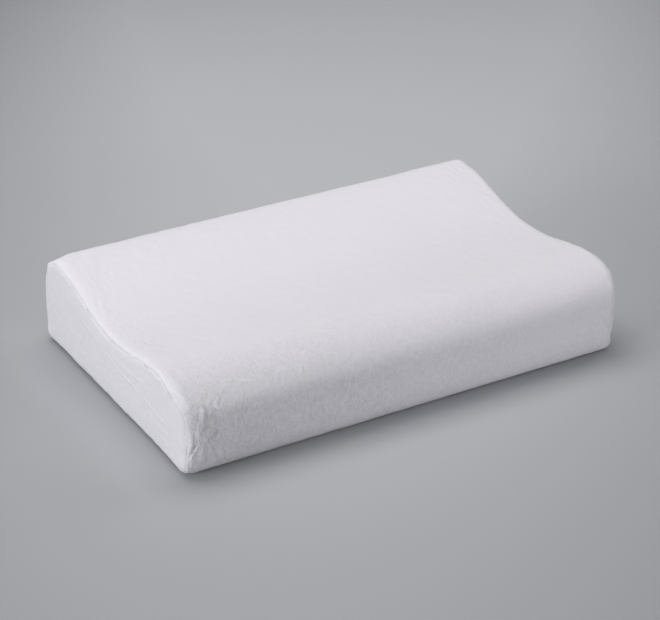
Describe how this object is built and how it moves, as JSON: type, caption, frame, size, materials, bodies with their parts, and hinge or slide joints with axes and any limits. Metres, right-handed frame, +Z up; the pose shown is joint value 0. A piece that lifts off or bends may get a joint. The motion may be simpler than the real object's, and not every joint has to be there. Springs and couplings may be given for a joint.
{
  "type": "contour bed pillow",
  "caption": "Contour memory-foam bed pillow with a high lobe, a neck valley and a low lobe, in a sewn white velour cover closed by a zip along the back.",
  "frame": {"origin": "middle of the flat base, on the surface the pillow lies on", "axes": "+X along the pillow's length, +Y towards the back, where the high lobe and the zip are, +Z up"},
  "size_m": [0.6, 0.4132, 0.1264],
  "materials": {
    "memory_foam": "matte",
    "liner_knit": "matte",
    "cover_velour": "matte",
    "sewing_thread": "satin",
    "zip_tape": "matte",
    "zip_coil": "satin",
    "slider_paint": "gloss",
    "label_satin": "satin"
  },
  "bodies": {
    "pillow": {"foam_core": "memory_foam", "liner_wrap": "liner_knit", "liner_left_end": "liner_knit", "liner_right_end": "liner_knit", "liner_left_seam_thread": "sewing_thread", "liner_right_seam_thread": "sewing_thread", "cover_wrap": "cover_velour", "cover_left_end": "cover_velour", "cover_right_end": "cover_velour", "left_end_seam_thread": "sewing_thread", "right_end_seam_thread": "sewing_thread", "back_seam_thread_left": "sewing_thread", "back_seam_thread_right": "sewing_thread", "zip_tape_upper": "zip_tape", "zip_tape_lower": "zip_tape", "zip_coil_upper": "zip_coil", "zip_coil_lower": "zip_coil", "zip_top_stop_upper": "zip_coil", "zip_top_stop_lower": "zip_coil", "zip_bottom_stop": "zip_coil", "zip_stitch_upper": "sewing_thread", "zip_stitch_lower": "sewing_thread", "zip_bartack_left": "sewing_thread", "zip_bartack_right": "sewing_thread", "care_label": "label_satin"},
    "slider": {"zip_slider": "slider_paint"},
    "pull": {"zip_pull": "slider_paint"}
  },
  "joints": [
    {"name": "zip_travel", "type": "slide", "parent": "pillow", "child": "slider", "axis": [-1, 0, 0], "range_m": [0, 0.458]},
    {"name": "pull_swing", "type": "hinge", "parent": "slider", "child": "pull", "pos_m": [0.23, 0.20715, 0.0515], "axis": [0, 0, -1], "range_deg": [0, 170]}
  ]
}
